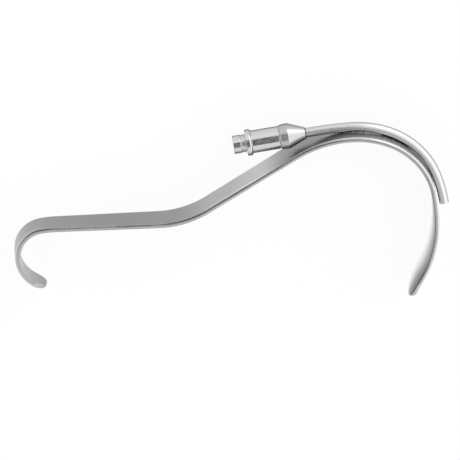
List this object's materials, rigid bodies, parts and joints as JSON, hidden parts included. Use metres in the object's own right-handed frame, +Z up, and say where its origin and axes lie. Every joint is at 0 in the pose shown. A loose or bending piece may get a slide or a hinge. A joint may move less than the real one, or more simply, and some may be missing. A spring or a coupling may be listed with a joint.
{
  "type": "fiber optic retractor",
  "caption": "Hand-held surgical retractor: a bent steel strip with a finger hook and a C-shaped blade, and a light guide tube with a screw-on light post on its outer side.",
  "frame": {"origin": "middle of the floor of the object's bounding box, with the object lying on its side", "axes": "+X from the finger hook to the blade, +Y toward the light guide's side, +Z up across the strip's width"},
  "size_m": [0.192, 0.0846, 0.0192],
  "materials": {
    "forged_steel": "satin, brushed along the strip",
    "tube_steel": "bright drawn steel",
    "turned_steel": "polished turned steel",
    "braze_metal": "silver braze, slightly uneven",
    "seal_rubber": "matte black",
    "clear_resin": "ground flush",
    "glass_fibre": "polished end faces"
  },
  "bodies": {
    "retractor": {"retractor_strip": "forged_steel", "light_guide_tube": "tube_steel", "post_cone": "turned_steel", "bundle_ferrule": "tube_steel", "fibre_bundle": "glass_fibre", "input_potting": "clear_resin", "outlet_potting": "clear_resin", "cone_braze_ring": "braze_metal", "braze_seam_crown_upper": "braze_metal", "braze_seam_crown_lower": "braze_metal", "braze_seam_blade_upper": "braze_metal", "braze_seam_blade_lower": "braze_metal"},
    "seal": {"seal_ring": "seal_rubber"},
    "adapter": {"cable_adapter": "turned_steel"}
  },
  "joints": [
    {"name": "adapter_travel", "type": "slide", "parent": "retractor", "child": "seal", "axis": [-0.9912, -0.1323, 0], "range_m": [0, 0.0045]},
    {"name": "adapter_turn", "type": "hinge", "parent": "seal", "child": "adapter", "pos_m": [0.00165, 0.03346, 0.0104], "axis": [-0.9912, -0.1323, 0], "range_deg": [0, 2160]}
  ],
  "couplings": [
    {"joint": "adapter_turn", "follows": "adapter_travel", "rad_per_m": 8377.6}
  ]
}
